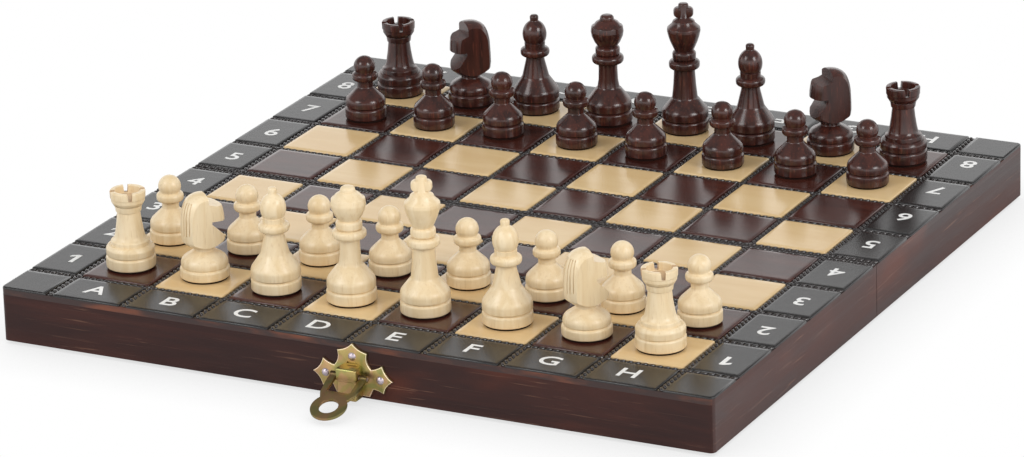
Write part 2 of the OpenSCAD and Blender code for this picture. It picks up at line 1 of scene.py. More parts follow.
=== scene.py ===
# %% [markdown]
# # A folding chess box, dressed in Blender
#
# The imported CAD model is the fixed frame: it says where every wall, hinge and chessman is.
# This script adds what makes it look real, piece by piece: the rope-stamped lacquered board,
# the pressed brass latch, the turned men and their wood. Everything is in metres, in the frame
# of the CAD: X runs along the front edge, Y runs away from White, Z is up from the table.

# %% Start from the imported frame
import math

import bmesh
import bpy
from mathutils import Matrix, Vector


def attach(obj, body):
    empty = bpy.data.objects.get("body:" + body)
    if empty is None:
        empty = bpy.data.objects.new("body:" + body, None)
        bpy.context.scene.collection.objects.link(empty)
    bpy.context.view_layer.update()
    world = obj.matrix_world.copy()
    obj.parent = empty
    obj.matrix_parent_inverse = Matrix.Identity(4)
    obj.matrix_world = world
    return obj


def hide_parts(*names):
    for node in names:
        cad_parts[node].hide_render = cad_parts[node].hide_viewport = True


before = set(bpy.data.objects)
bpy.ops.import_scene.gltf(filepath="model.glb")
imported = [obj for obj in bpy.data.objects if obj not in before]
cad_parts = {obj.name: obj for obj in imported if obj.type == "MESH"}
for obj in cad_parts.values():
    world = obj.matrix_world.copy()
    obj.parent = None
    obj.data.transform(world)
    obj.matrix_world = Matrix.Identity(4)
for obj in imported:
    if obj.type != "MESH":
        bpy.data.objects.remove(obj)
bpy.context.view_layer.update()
MM = 0.001

# %% [markdown]
# ## Helpers for meshes
#
# A turned man is a profile spun round an axis, and a real turner leaves small rounds on every
# corner. So profiles are written as corner points, with the radius of the round as a third
# number, and one function draws the arcs. Another one turns a finished bmesh into an object,
# says which body it rides on, and hides the CAD node that it stands for. Profiles and outlines
# are in mm, and the helpers turn them to metres.


# %% Round the corners of a profile
ARC_STEPS = 4
OVAL_STEPS = 14


def arc_corner(before, corner, after):
    """Points of the arc that rounds off a corner, given as (x, y, radius)."""
    at = Vector(corner[:2])
    radius = corner[2]
    u = (Vector(before[:2]) - at).normalized()
    v = (Vector(after[:2]) - at).normalized()
    half = u.angle(v) / 2
    middle = at + (u + v).normalized() * radius / math.sin(half)
    first = at + u * radius / math.tan(half) - middle
    last = at + v * radius / math.tan(half) - middle
    start = math.atan2(first.y, first.x)
    sweep = (math.atan2(last.y, last.x) - start + math.pi) % (2 * math.pi) - math.pi
    angles = [start + sweep * i / ARC_STEPS for i in range(ARC_STEPS + 1)]
    return [(middle.x + radius * math.cos(a), middle.y + radius * math.sin(a)) for a in angles]


def rounded(points):
    """Rounds the points of a profile that carry a radius as a third number."""
    result = []
    for i, point in enumerate(points):
        if len(point) == 3:
            result += arc_corner(points[i - 1], point, points[i + 1])
        else:
            result.append(point)
    return result


def oval(z, across, up, first, last):
    """Part of an ellipse round the height z, from one angle in degrees to another."""
    angles = [math.radians(first + (last - first) * i / OVAL_STEPS) for i in range(OVAL_STEPS + 1)]
    return [(across * math.cos(a), z + up * math.sin(a)) for a in angles]


# %% Turn, extrude, cut and bevel
TURNED_STEPS = 56
FEW_STEPS = 32
# Points closer than these, in metres, are made one
CLOSE = 1e-6
VERY_CLOSE = 1e-7


def turned(profile, steps=TURNED_STEPS):
    """Spins a profile of (radius, height) in mm round the Z axis."""
    bm = bmesh.new()
    verts = [bm.verts.new((r * MM, 0, z * MM)) for r, z in profile]
    edges = [bm.edges.new(pair) for pair in zip(verts, verts[1:])]
    bmesh.ops.spin(bm, geom=verts + edges, cent=(0, 0, 0), axis=(0, 0, 1),
                   angle=2 * math.pi, steps=steps, use_merge=True)
    bmesh.ops.remove_doubles(bm, verts=bm.verts, dist=VERY_CLOSE)
    bmesh.ops.recalc_face_normals(bm, faces=bm.faces)
    return bm


def slab(outline, depth, axis="Y"):
    """Extrudes an outline in mm by a depth in mm, centred across the axis."""
    bm = bmesh.new()
    if axis == "Y":
        verts = [bm.verts.new((x * MM, -depth * MM / 2, z * MM)) for x, z in outline]
        way = (0, depth * MM, 0)
    else:
        verts = [bm.verts.new((x * MM, y * MM, 0)) for x, y in outline]
        way = (0, 0, depth * MM)
    face = bm.faces.new(verts)
    grown = bmesh.ops.extrude_face_region(bm, geom=[face])
    moved = [v for v in grown["geom"] if isinstance(v, bmesh.types.BMVert)]
    bmesh.ops.translate(bm, verts=moved, vec=way)
    bmesh.ops.recalc_face_normals(bm, faces=bm.faces)
    return bm


def soften(bm, edges, width, segments=2):
    """Rounds edges over, by a width in mm."""
    bmesh.ops.bevel(bm, geom=edges, offset=width * MM, offset_type="OFFSET", segments=segments,
                    profile=0.5, affect="EDGES", material=-1, clamp_overlap=True)


def sharp_edges(bm, degrees):
    """The edges that bend by more than an angle."""
    limit = math.radians(degrees)
    return [e for e in bm.edges if len(e.link_faces) == 2 and e.calc_face_angle(0) > limit]


def block(bm, low, high):
    """Adds a box between two corners in mm."""
    low, high = Vector(low) * MM, Vector(high) * MM
    matrix = Matrix.Translation((low + high) / 2) @ Matrix.Diagonal((*(high - low), 1))
    bmesh.ops.create_cube(bm, size=1, matrix=matrix)


def upright(edge, least=1.0):
    """Whether an edge climbs by more than so many mm."""
    return abs(edge.verts[0].co.z - edge.verts[1].co.z) > least * MM


def boolean(bm, cutter, operation="DIFFERENCE"):
    """Cuts one bmesh with another by Blender's exact boolean. Both are used up."""
    made = []
    for part in (bm, cutter):
        mesh = bpy.data.meshes.new("cutting")
        part.to_mesh(mesh)
        part.free()
        made.append(bpy.data.objects.new("cutting", mesh))
        bpy.context.scene.collection.objects.link(made[-1])
    work, tool = made
    modifier = work.modifiers.new("cut", "BOOLEAN")
    modifier.operation = operation
    modifier.solver = "EXACT"
    modifier.object = tool
    bpy.context.view_layer.update()
    shaped = work.evaluated_get(bpy.context.evaluated_depsgraph_get())
    result = bmesh.new()
    result.from_mesh(shaped.to_mesh())
    shaped.to_mesh_clear()
    for o in made:
        mesh = o.data
        bpy.data.objects.remove(o)
        bpy.data.meshes.remove(mesh)
    return result


# %% Make a piece of the finished mesh
def shaded(name, bm, materials, sharp):
    """Turns a bmesh into a mesh, smooth but for its sharp edges."""
    for face in bm.faces:
        face.smooth = True
    for edge in bm.edges:
        edge.smooth = len(edge.link_faces) == 2 and edge.calc_face_angle(0) < math.radians(sharp)
    mesh = bpy.data.meshes.new(name)
    bm.to_mesh(mesh)
    bm.free()
    for material in materials:
        mesh.materials.append(material)
    return mesh


def place(name, mesh, body, *nodes, slot=None):
    """Shows a mesh, says which body it rides on and which CAD nodes it stands for."""
    made = bpy.data.objects.new(name, mesh)
    bpy.context.scene.collection.objects.link(made)
    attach(made, body)
    for node in nodes:
        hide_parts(node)


def piece(name, bm, materials, body, *nodes, slot=None, sharp=35):
    """Places a bmesh as a piece; edges that bend by more than sharp degrees stay sharp."""
    place(name, shaded(name, bm, materials, sharp), body, *nodes, slot=slot)


def join(first, other, material=None):
    """Adds another bmesh to the first one, with a new material number if one is given."""
    if material is not None:
        for face in other.faces:
            face.material_index = material
    mesh = bpy.data.meshes.new("joining")
    other.to_mesh(mesh)
    other.free()
    first.from_mesh(mesh)
    bpy.data.meshes.remove(mesh)
    return first


# %% [markdown]
# ## Helpers for materials
#
# Shader maths is easier to read as arithmetic. One small class wraps a socket and turns +, -
# and * into Math nodes. Every other node comes from one method that takes its type, its
# settings and its inputs.


# %% Expressions of sockets
class Value:
    """A socket that can be added to, multiplied and compared."""

    def __init__(self, graph, socket):
        self.graph = graph
        self.socket = socket

    def math(self, operation, first, second):
        return self.graph.node("ShaderNodeMath", {"operation": operation}, {0: first, 1: second})

    def __add__(self, other):
        return self.math("ADD", self, other)

    def __radd__(self, other):
        return self.math("ADD", other, self)

    def __sub__(self, other):
        return self.math("SUBTRACT", self, other)

    def __rsub__(self, other):
        return self.math("SUBTRACT", other, self)

    def __mul__(self, other):
        return self.math("MULTIPLY", self, other)

    def __rmul__(self, other):
        return self.math("MULTIPLY", other, self)

    def most(self, other):
        return self.math("MAXIMUM", self, other)

    def step(self, low, high, to_low=0.0, to_high=1.0):
        """Eases from to_low to to_high as the value goes from low to high."""
        return self.graph.node("ShaderNodeMapRange", {"interpolation_type": "SMOOTHSTEP"},
                               {0: self, 1: low, 2: high, 3: to_low, 4: to_high})

    def choose(self, off, on):
        """One value where this is 0, and another where it is 1."""
        return self.graph.node("ShaderNodeMapRange", {}, {0: self, 3: off, 4: on})


class Graph:
    """A node tree whose nodes are added by one method."""

    def __init__(self, tree):
        self.tree = tree

    def plug(self, target, value):
        if isinstance(value, Value):
            self.tree.links.new(value.socket, target)
        else:
            target.default_value = value

    def node(self, kind, settings, inputs, output=0):
        made = self.tree.nodes.new(kind)
        for name, value in settings.items():
            setattr(made, name, value)
        for key, value in inputs.items():
            self.plug(made.inputs[key], value)
        return Value(self, made.outputs[output])


class Finish(Graph):
    """A material, with the nodes that most of the finishes share."""

    def __init__(self, name, **sockets):
        self.material = bpy.data.materials.new(name)
        self.material.use_nodes = True
        super().__init__(self.material.node_tree)
        self.shader = self.tree.nodes["Principled BSDF"]
        self.set(**sockets)

    def set(self, **sockets):
        for name, value in sockets.items():
            socket = name.replace("_", " ").title().replace("Ior", "IOR")
            self.plug(self.shader.inputs[socket], value)

    def where(self, scale=(1, 1, 1)):
        """Object coordinates, stretched."""
        spot = self.node("ShaderNodeTexCoord", {}, {}, "Object")
        return self.node("ShaderNodeMapping", {}, {"Vector": spot, "Scale": scale})

    def noise(self, vector, scale=1.0, detail=3, rough=0.5, distort=0.0):
        return self.node("ShaderNodeTexNoise", {},
                         {"Vector": vector, "Scale": scale, "Detail": detail,
                          "Roughness": rough, "Distortion": distort})

    def mix(self, amount, first, second):
        """Blends two colours. The sockets of a Mix node for colours are 0, 6 and 7."""
        return self.node("ShaderNodeMix", {"data_type": "RGBA"},
                         {0: amount, 6: first, 7: second}, 2)

    def bump(self, height, strength, distance):
        self.set(normal=self.node("ShaderNodeBump", {},
                                  {"Height": height, "Strength": strength, "Distance": distance}))


def rgb(red, green, blue):
    """A colour as the eye reads it, 0 to 255, turned to the linear numbers that a shader takes."""
    def linear(c):
        c /= 255
        return c / 12.92 if c <= 0.04045 else ((c + 0.055) / 1.055) ** 2.4
    return (linear(red), linear(green), linear(blue), 1)


# %% [markdown]
# ## Camera, light and floor
#
# The photograph looks down about 20 degrees, from the right of the front, through a long lens.
# The light is plain and soft, as in a shop photograph: a pale world all round, so that the
# lacquer has something pale to reflect, darker high up, and a lamp on each side of the camera. The
# floor bounces light, but the camera looks through it to the white world behind, so only a soft
# shadow close round the box shows, and the lid can still be seen when it is folded under.

# %% Camera
CAMERA_AT = (0.8929, -1.7552, 0.7341)
LOOK = Vector((-0.42802, 0.83605, -0.34326))
ROLL = math.radians(-1.72)
across = LOOK.cross(Vector((0, 0, 1))).normalized()
upwards = across.cross(LOOK)
right = across * math.cos(ROLL) + upwards * math.sin(ROLL)
up = upwards * math.cos(ROLL) - across * math.sin(ROLL)
camera = bpy.data.objects.new("camera", bpy.data.cameras.new("camera"))
camera.data.lens = 200.4
camera.data.sensor_width = 36
camera.data.clip_start = 0.05
camera.data.clip_end = 20
facing = Matrix((right, up, -LOOK)).transposed().to_4x4()
camera.matrix_world = Matrix.Translation(CAMERA_AT) @ facing
bpy.context.scene.collection.objects.link(camera)
bpy.context.scene.camera = camera
bpy.context.scene.view_settings.view_transform = "Standard"

# %% World and lamps
# What a mirror sees of the world is bright at the horizon and grey higher up
HORIZON, OVERHEAD = 1.68, 0.4
FADE_FROM, FADE_TO = 0.3, 0.42
FILL = 0.68
BACKDROP = 1.0
world = bpy.data.worlds.new("world")
bpy.context.scene.world = world
world.use_nodes = True
sky = Graph(world.node_tree)
background = sky.tree.nodes["Background"]
background.inputs["Color"].default_value = (1, 1, 1, 1)
direction = sky.node("ShaderNodeTexCoord", {}, {}, "Generated")
height = sky.node("ShaderNodeSeparateXYZ", {}, {0: direction}, "Z")
mirrored = height.step(FADE_FROM, FADE_TO, HORIZON, OVERHEAD)
from_mirror = sky.node("ShaderNodeLightPath", {}, {}, "Is Glossy Ray")
from_camera = sky.node("ShaderNodeLightPath", {}, {}, "Is Camera Ray")
strength = from_camera.choose(from_mirror.choose(FILL, mirrored), BACKDROP)
sky.plug(background.inputs["Strength"], strength)

LAMP_SIZE = 0.8


def lamp(name, at, power):
    """A square lamp that faces the middle of the board."""
    light = bpy.data.lights.new(name, "AREA")
    light.size = LAMP_SIZE
    light.energy = power
    made = bpy.data.objects.new(name, light)
    made.location = at
    made.rotation_euler = (-Vector(at)).to_track_quat("-Z", "Y").to_euler()
    bpy.context.scene.collection.objects.link(made)


lamp("left_lamp", (-0.9, -1.55, 1.3), 13)
lamp("right_lamp", (1.75, -0.45, 1.1), 18)

# %% Floor
FLOOR_Z = -0.0014
SHADOW_REACH = 0.03
SHADOW_DEPTH = 0.3
floor_mesh = bmesh.new()
bmesh.ops.create_grid(floor_mesh, x_segments=1, y_segments=1, size=6,
                      matrix=Matrix.Translation((0, 0, FLOOR_Z)))
floor_finish = Finish("floor")
diffuse = floor_finish.node("ShaderNodeBsdfDiffuse", {}, {"Color": (0.85, 0.85, 0.85, 1)})
clear = floor_finish.node("ShaderNodeBsdfTransparent", {}, {})
camera_ray = floor_finish.node("ShaderNodeLightPath", {}, {}, "Is Camera Ray")
shadow_ray = floor_finish.node("ShaderNodeLightPath", {}, {}, "Is Shadow Ray")
openness = floor_finish.node("ShaderNodeAmbientOcclusion", {"samples": 8},
                             {"Distance": SHADOW_REACH}, "AO")
dark = floor_finish.node("ShaderNodeBsdfDiffuse", {}, {"Color": (0.02, 0.02, 0.02, 1)})
shadow = floor_finish.node("ShaderNodeMixShader", {},
                           {0: (1 - openness) * camera_ray * SHADOW_DEPTH, 1: clear, 2: dark})
choice = floor_finish.node("ShaderNodeMixShader", {},
                           {0: camera_ray.most(shadow_ray), 1: diffuse, 2: shadow})
floor_finish.plug(floor_finish.tree.nodes["Material Output"].inputs["Surface"], choice)
mesh = bpy.data.meshes.new("floor")
floor_mesh.to_mesh(mesh)
floor_mesh.free()
mesh.materials.append(floor_finish.material)
floor = bpy.data.objects.new("floor", mesh)
bpy.context.scene.collection.objects.link(floor)

# %% [markdown]
# ## Stained wood of the walls
#
# The walls are an open-pored wood under a dark red-brown stain. Long streaks run along the
# board, with red patches, and thin pores catch the light. Noise stretched along the grain gives
# the streaks; a finer, more stretched one gives the pores.


# %% Wall finish
def stained_wood(name, grain, shine):
    """grain is 'X' or 'Y', the way the board runs; shine is the strength of its mirror."""
    finish = Finish(name, roughness=0.38, specular_ior_level=shine)
    along = (6, 60, 60) if grain == "X" else (60, 6, 60)
    fine = (32, 900, 900) if grain == "X" else (900, 32, 900)
    streak = finish.noise(finish.where(along), detail=4, rough=0.6, distort=1.2)
    cloud = finish.noise(finish.where((14, 14, 40)))
    pore = finish.noise(finish.where(fine), rough=0.6, distort=0.6)
    warm = (streak * 0.7 + cloud * 0.5).step(0.46, 0.82)
    base = finish.mix(warm, rgb(43, 22, 20), rgb(68, 34, 27))
    base = finish.mix(cloud.step(0.56, 0.72) * 0.5, base, rgb(96, 44, 26))
    light = pore.step(0.6, 0.72) * cloud.step(0.35, 0.6, 0.25, 1)
    colour = finish.mix(light * 0.4, base, rgb(146, 106, 84))
    finish.set(base_color=colour, roughness=streak.step(0.3, 0.7, 0.32, 0.5))
    finish.bump(pore.step(0.5, 0.75), 0.25, 0.0002)
    return finish.material


wall_x = stained_wood("stained_wall_x", "X", 0.25)
wall_y = stained_wood("stained_wall_y", "Y", 0.5)

# %% [markdown]
# ## Lacquered board
#
# The board is plywood under thick lacquer: near black on the border, and dark brown or pale on
# the squares. A roller stamps the lines into it as a twisted cord, so each cell stands a little
# proud, with soft edges, between rows of slanted beads. The cut edge below the border is worn.

# %% Lacquers
def lacquer(name, first, second, scale, rough, orange_peel=0.05, shine=0.5):
    finish = Finish(name, roughness=rough, specular_ior_level=shine)
    mottle = finish.noise(finish.where(scale), rough=0.6, distort=0.6)
    finish.set(base_color=finish.mix(mottle.step(0.3, 0.72), first, second))
    peel = finish.noise(finish.where(), 260.0, 2)
    finish.bump(peel, orange_peel, 0.0003)
    return finish.material


border_black = lacquer("border_lacquer", rgb(20, 19, 20), rgb(28, 25, 24), (18, 18, 18), 0.24)
dark_lacquer = lacquer("dark_square_lacquer", rgb(52, 24, 19), rgb(72, 36, 28),
                       (26, 160, 60), 0.2)
pale_lacquer = lacquer("pale_square_lacquer", rgb(212, 180, 130), rgb(219, 190, 142),
                       (20, 90, 60), 0.2)
rope_black = lacquer("rope_lacquer", rgb(20, 13, 12), rgb(34, 22, 20), (90, 90, 90), 0.24,
                     orange_peel=0.02, shine=1.0)
label_white = lacquer("label_paint", rgb(226, 226, 224), rgb(236, 236, 234), (80, 80, 80), 0.35)


def worn_edge():
    """The cut edge of the board, where the stain has rubbed through to orange wood."""
    finish = Finish("worn_board_edge", roughness=0.4)
    patch = finish.noise(finish.where((45, 45, 160)), rough=0.6)
    finish.set(base_color=finish.mix(patch.step(0.44, 0.74), rgb(46, 26, 23), rgb(112, 58, 33)))
    finish.bump(patch, 0.2, 0.0003)
    return finish.material


board_edge = worn_edge()

# %% Sizes of the board, in mm, as in the part's source
SQUARE = 30.0
EDGE = 140.0
SEAM = 0.15
GROOVE = 2.6
GROOVE_FLOOR = 19.8
BORDER_TOP = 20.4
SQUARE_TOP = 20.5
WALL_TOP = 17.5
LACQUER_LOW = 19.65
LINES = [(i - 4) * SQUARE for i in range(9)]

# Rounds that only the scene has: the board's corners, a cell's corners and its upper edges
CORNER_R = 2.0
CELL_R = 0.7
CUSHION_R = 0.5
LEDGE = 0.5
FLAT_SHARE = 0.9
BORDER, DARK, PALE, CUT_EDGE, ROPE, WALL = range(6)


def spans(lines):
    """The cells from the edge along a row of lines: (low, high, whether it is border)."""
    half = GROOVE / 2
    cells = [(-EDGE, lines[0] - half, True)]
    return cells + [(a + half, b - half, False) for a, b in zip(lines, lines[1:])]


X_SPANS = spans(LINES) + [(LINES[-1] + GROOVE / 2, EDGE, True)]
Y_SPANS = spans(LINES[:4]) + [(LINES[3] + GROOVE / 2, -SEAM - GROOVE, False)]


# %% Build the board of one tray
def cell(x0, x1, y0, y1, on_border):
    """One lacquered cell, rounded over like a cushion, with a flat top."""
    top = BORDER_TOP if on_border else SQUARE_TOP
    pad = bmesh.new()
    block(pad, (x0, y0, LACQUER_LOW if on_border else GROOVE_FLOOR), (x1, y1, top))
    posts = [e for e in pad.edges if upright(e, 0.1)]
    outer = [e for e in posts if all(abs(abs(c) - EDGE * MM) < CLOSE for c in e.verts[0].co.xy)]
    if outer:
        soften(pad, outer, CORNER_R, 4)
    else:
        soften(pad, posts, CELL_R, 2)
    soften(pad, [e for e in pad.edges if min(v.co.z for v in e.verts) > (top - 0.01) * MM],
           CUSHION_R, 3)
    pad.normal_update()
    flat = max(pad.faces, key=lambda f: f.calc_center_median().z * 1e3 + f.calc_area())
    flat = bmesh.ops.extrude_discrete_faces(pad, faces=[flat])["faces"][0]
    bmesh.ops.scale(pad, verts=flat.verts, vec=(FLAT_SHARE, FLAT_SHARE, 1),
                    space=Matrix.Translation(-flat.calc_center_median()))
    return pad


def board(name, body, node, far):
    """far mirrors the tray to the side of +Y; its dark squares then swap places."""
    bm = bmesh.new()
    block(bm, (-EDGE, -EDGE, WALL_TOP), (EDGE, -SEAM, LACQUER_LOW))
    soften(bm, [e for e in bm.edges if upright(e) and e.verts[0].co.y < -EDGE / 2 * MM],
           CORNER_R, 4)
    bm.normal_update()
    for face in bm.faces:
        face.material_index = WALL if abs(face.normal.x) > 0.7 else CUT_EDGE
    ground = bmesh.new()
    block(ground, (LEDGE - EDGE, LEDGE - EDGE, LACQUER_LOW), (EDGE - LEDGE, -SEAM, GROOVE_FLOOR))
    join(bm, ground, material=ROPE)
    for row, (y0, y1, row_border) in enumerate(Y_SPANS):
        for file, (x0, x1, file_border) in enumerate(X_SPANS):
            on_border = row_border or file_border
            colour = PALE if (file + row + far) % 2 else DARK
            join(bm, cell(x0, x1, y0, y1, on_border), material=BORDER if on_border else colour)
    if far:
        bmesh.ops.mirror(bm, geom=bm.verts[:] + bm.edges[:] + bm.faces[:], axis="Y",
                         merge_dist=-1, matrix=Matrix.Identity(4))
        bmesh.ops.delete(bm, geom=[v for v in bm.verts if v.co.y < 0], context="VERTS")
        bmesh.ops.recalc_face_normals(bm, faces=bm.faces)
    materials = [border_black, dark_lacquer, pale_lacquer, board_edge, rope_black, wall_y]
    piece(name, bm, materials, body, node, slot="lacquered_board")


board("base_lacquered_board", "base", "base_deck", far=False)
board("lid_lacquered_board", "lid", "lid_deck", far=True)

# %% Rope beads
PITCH = 2.8
BEAD = (1.5, 0.66, 0.66)
BEAD_LIFT = 0.08
SLANT = 38
ROW_START, ROW_LENGTH = 0.4, EDGE - 0.6


def bead_shape():
    """The points and faces of a round bead."""
    bm = bmesh.new()
    bmesh.ops.create_icosphere(bm, subdivisions=2, radius=1)
    verts = [v.co.copy() for v in bm.verts]
    faces = [[v.index for v in f.verts] for f in bm.faces]
    bm.free()
    return verts, faces


BEAD_VERTS, BEAD_FACES = bead_shape()


def ropes(name, body, side):
    """Slanted beads along every line of one tray; side is -1 for the base and 1 for the lid."""
    count = int(2 * EDGE / PITCH)
    half = count // 2
    rows = [side * abs(line) for line in LINES[:4]] + [side * (SEAM + GROOVE / 2)]
    spots = [(-EDGE + (i + 0.5) * PITCH, y, SLANT) for y in rows for i in range(count)]
    spots += [(x, side * (ROW_START + (i + 0.5) * ROW_LENGTH / half), SLANT + 90)
              for x in LINES for i in range(half)]
    size = Matrix.Diagonal([r * MM for r in BEAD])
    shapes = {}
    for turn in (SLANT, SLANT + 90):
        way = Matrix.Rotation(math.radians(turn), 3, "Z") @ size
        shapes[turn] = [way @ v for v in BEAD_VERTS]
    verts, faces = [], []
    for x, y, turn in spots:
        at = Vector((x, y, GROOVE_FLOOR + BEAD_LIFT)) * MM
        first = len(verts)
        verts += [v + at for v in shapes[turn]]
        faces += [[first + i for i in face] for face in BEAD_FACES]
    mesh = bpy.data.meshes.new(name)
    mesh.from_pydata(verts, [], faces)
    mesh.materials.append(rope_black)
    mesh.shade_smooth()
    place(name, mesh, body, slot="lacquered_board")


ropes("base_rope_lines", "base", -1)
ropes("lid_rope_lines", "lid", 1)

# %% [markdown]
# ## Letters and numbers
#
# The files are lettered along both edges and the ranks numbered up both sides, in white paint,
# each set upright to the player who sits there. They are Blender text, made a mesh, a few
# hundredths of a millimetre thick, standing on the lacquer.

# %% Labels
CAP = 7.6
# The font's capitals are 0.72 of its size, and its letters are stretched to the printed width
CAP_SHARE = 0.72
STRETCH = 1.12
PAINT_T = 0.05
PAINT_LIFT = 0.02
ONE = [(0, -CAP / 2), (1.7, -CAP / 2), (1.7, CAP / 2), (0, CAP / 2), (-2.2, 2.5), (-2.2, 1),
       (0, 2.2)]


def glyphs(name, body, marks):
    """Prints marks of (text, x, y, turn in degrees). The font's 1 is too thin, so it is drawn."""
    bm = bmesh.new()
    size = CAP / CAP_SHARE * MM
    for text, x, y, turn in marks:
        spot = (Matrix.Translation((x * MM, y * MM, (BORDER_TOP + PAINT_LIFT) * MM))
                @ Matrix.Rotation(math.radians(turn), 4, "Z"))
        if text == "1":
            one = slab(ONE, PAINT_T, axis="Z")
            one.transform(spot)
            join(bm, one)
            continue
        curve = bpy.data.curves.new("glyph", "FONT")
        curve.body = text
        curve.size = 1.0
        curve.align_x = "CENTER"
        curve.offset = 0.012
        curve.extrude = 0.004
        curve.resolution_u = 5
        holder = bpy.data.objects.new("glyph", curve)
        bpy.context.scene.collection.objects.link(holder)
        bpy.context.view_layer.update()
        shaped = holder.evaluated_get(bpy.context.evaluated_depsgraph_get())
        mesh = bpy.data.meshes.new_from_object(shaped)
        mesh.transform(spot @ Matrix.Diagonal((size * STRETCH, size, size, 1))
                       @ Matrix.Translation((0, -CAP_SHARE / 2, 0)))
        bm.from_mesh(mesh)
        bpy.data.objects.remove(holder)
        bpy.data.meshes.remove(mesh)
    piece(name, bm, [label_white], body, slot="lacquered_board")


# Where the marks are printed: the numbers on the right are set wider than the squares
FILES = "ABCDEFGH"
SIDE = 130.5
FRONT_Y = -129.8
FRONT_SHIFT = -0.9
RIGHT_PITCH = 31
RIGHT_SHIFT = 1.2
centres = [(i - 3.5) * SQUARE for i in range(8)]


def numbers(low, high):
    """The numbers of some ranks, up the left side and up the right side."""
    left = [(str(i + 1), -SIDE, centres[i], 0) for i in range(low, high)]
    return left + [(str(i + 1), SIDE, (i - 3.5) * RIGHT_PITCH + RIGHT_SHIFT, 180)
                   for i in range(low, high)]


front_marks = [(letter, x + FRONT_SHIFT, FRONT_Y, 0) for letter, x in zip(FILES, centres)]
rear_marks = [(letter, x, SIDE, 180) for letter, x in zip(FILES, centres)]
glyphs("base_labels", "base", front_marks + numbers(0, 4))
glyphs("lid_labels", "lid", rear_marks + numbers(4, 8))

# %% [markdown]
# ## Walls, lining and hinges
#
# The CAD walls have the right shape, so they stay and only get their wood. The linings get a
# short felt, the hinges the brass of the latch, and the pins and nails a plain steel.

# %% Felt, brass and steel
def felt(name, colour):
    finish = Finish(name, roughness=0.95, specular_ior_level=0.1)
    fuzz = finish.noise(finish.where(), 1800.0, 3, 0.7)
    finish.set(base_color=finish.mix(fuzz, [c * 0.6 for c in colour[:3]] + [1], colour))
    finish.bump(fuzz, 0.6, 0.0003)
    return finish.material


def yellow_brass(name, first, second, third):
    """Plated steel with a yellow chromate: brassy, with patches of green and pink."""
    finish = Finish(name, metallic=1.0)
    patch = finish.noise(finish.where(), 130.0, 1, 0.5, 1.2)
    warm = finish.mix(patch.step(0.38, 0.48), first, second)
    finish.set(base_color=finish.mix(patch.step(0.53, 0.62), warm, third),
               roughness=patch.step(0.3, 0.7, 0.32, 0.4))
    return finish.material


def plain_steel(name):
    finish = Finish(name, metallic=1.0)
    fine = finish.noise(finish.where(), 600.0, 2)
    finish.set(base_color=finish.mix(fine, rgb(166, 154, 162), rgb(206, 194, 202)),
               roughness=fine.step(0.3, 0.7, 0.3, 0.42))
    return finish.material


lining_felt = felt("lining_felt", rgb(70, 40, 34))
foot_felt = felt("foot_felt", rgb(44, 30, 26))
brass = yellow_brass("yellow_brass", rgb(156, 152, 94), rgb(176, 156, 100), rgb(188, 154, 112))
# A pale brass for the plates' rounded rim: a painted highlight
rim_highlight_brass = yellow_brass("brass_painted_rim_highlight", rgb(232, 218, 176), rgb(238, 218, 180),
                            rgb(240, 214, 188))
# The hasp's brass is darker than the plates': painted shade for the dull reflection on the hasp
hasp_shade_brass = yellow_brass("hasp_brass_painted_shade", rgb(136, 128, 84), rgb(148, 130, 86), rgb(156, 126, 92))
# The barrel round the hasp's pin is darker still: painted shade on the knuckles
barrel_shade_brass = yellow_brass("barrel_brass_painted_shade", rgb(84, 76, 48), rgb(90, 78, 50), rgb(94, 76, 54))
steel = plain_steel("nail_steel")


def repaint(material, *nodes):
    """Gives CAD nodes that stay in view their finish."""
    for node in nodes:
        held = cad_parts[node].data.materials
        for i in range(len(held)):
            held[i] = material
        if not held:
            held.append(material)


repaint(wall_x, "base_front_wall", "base_hinge_wall", "lid_rear_wall", "lid_hinge_wall")
repaint(wall_y, "base_left_wall", "base_right_wall", "lid_left_wall", "lid_right_wall")
repaint(lining_felt, "base_lining", "lid_lining")
repaint(brass, "hinge_left_base_leaf", "hinge_right_base_leaf", "hinge_left_lid_leaf",
        "hinge_right_lid_leaf", "base_hinge_nails", "lid_hinge_nails")
repaint(steel, "hinge_left_pin", "hinge_right_pin", "latch_pin", "latch_nails", "catch_nails")

# %% [markdown]
# ## Latch
#
# The latch is pressed from sheet, so its edges are rounded over. The plates are drawn again from
# the outline in the part's source, with a pale brass on the rounded rim as a painted highlight; the
# box that carries the pin has rounded corners and a crease. The hasp is the CAD mesh with its long
# edges bevelled, in a darker brass as painted shade, and its barrel round the pin is darker still,
# also painted shade.

# %% Plates of the latch
LATCH_X = 2.6
PLATE_W, PLATE_H, PLATE_T = 31.6, 20, 1
PLATE_FRONT = -EDGE - PLATE_T
RIM_R = 0.32
STUD_Z = 7.6
LOBES = [(0, 1), (0.187, 0.85), (0.228, 0.56), (0.367, 0.66), (0.5, 0.39), (0.38, 0.14),
         (0.253, 0.2), (0.206, 0.05)]
DIPS = [0.6, 0.9, 0.3, 0.8, 0.8, 0.3]
DIP_STEPS = 6


def dip(p, q, depth):
    """Points from p towards q along a shallow hollow."""
    p, q = Vector(p), Vector(q)
    way = q - p
    side = Vector((way.y, -way.x)).normalized()
    shares = [i / DIP_STEPS for i in range(DIP_STEPS)]
    return [tuple(p + way * t + side * depth * 4 * t * (1 - t)) for t in shares]


